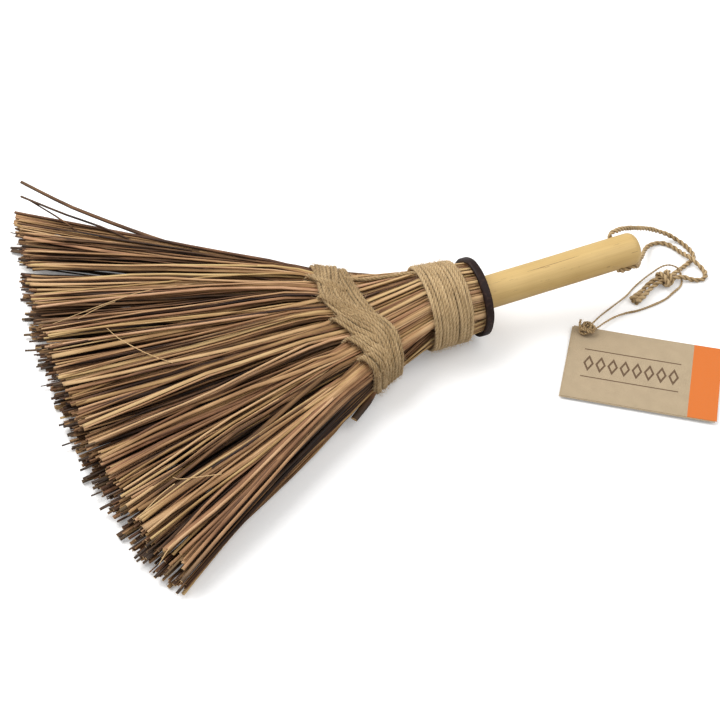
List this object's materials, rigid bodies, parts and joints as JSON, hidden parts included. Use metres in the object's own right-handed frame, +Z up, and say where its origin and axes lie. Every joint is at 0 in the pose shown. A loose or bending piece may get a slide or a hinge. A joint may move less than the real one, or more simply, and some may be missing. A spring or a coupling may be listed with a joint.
{
  "type": "coconut palm broom",
  "caption": "Short hand broom: palm leaf ribs bound with jute round a turned wooden handle into a flat fan, with a cord loop and a card tag.",
  "frame": {"origin": "on the surface the broom lies on, under the middle of the broom's own pieces, cords and tag left out", "axes": "+X from the fan's tips toward the handle's end, +Y across the fan, +Z up off the surface the broom lies on"},
  "size_m": [0.5018, 0.4002, 0.0623],
  "materials": {
    "handle_wood": "smooth turned pale wood, lightly waxed",
    "palm_rib": "dry coconut leaf rib, satin with rough cut ends",
    "binding_jute": "two-ply jute cord, matt and hairy",
    "collar_rubber": "smooth dark brown, slightly glossy",
    "hang_jute": "two-ply jute cord, matt",
    "tag_jute": "thin jute string, matt",
    "tag_kraft": "uncoated kraft card with a plain orange end band"
  },
  "bodies": {
    "broom": {"handle": "handle_wood", "collar_ring": "collar_rubber", "upper_stick_bundle_1": "palm_rib", "upper_stick_bundle_2": "palm_rib", "upper_stick_bundle_3": "palm_rib", "upper_stick_bundle_4": "palm_rib", "upper_stick_bundle_5": "palm_rib", "upper_stick_bundle_6": "palm_rib", "lower_stick_bundle_1": "palm_rib", "lower_stick_bundle_2": "palm_rib", "lower_stick_bundle_3": "palm_rib", "lower_stick_bundle_4": "palm_rib", "lower_stick_bundle_5": "palm_rib", "lower_stick_bundle_6": "palm_rib", "upper_binding": "binding_jute", "cross_binding": "binding_jute", "diagonal_binding": "binding_jute", "stitch_row": "binding_jute", "hang_cord": "hang_jute", "hang_knot": "hang_jute", "tag_string": "tag_jute", "tag_knot": "tag_jute"},
    "tag": {"tag_card": "tag_kraft"}
  },
  "joints": [
    {"name": "tag_swivel", "type": "hinge", "parent": "broom", "child": "tag", "pos_m": [0.1691, -0.05942, 0.0015], "axis": [0, 0, 1], "range_deg": [-30, 30]}
  ]
}
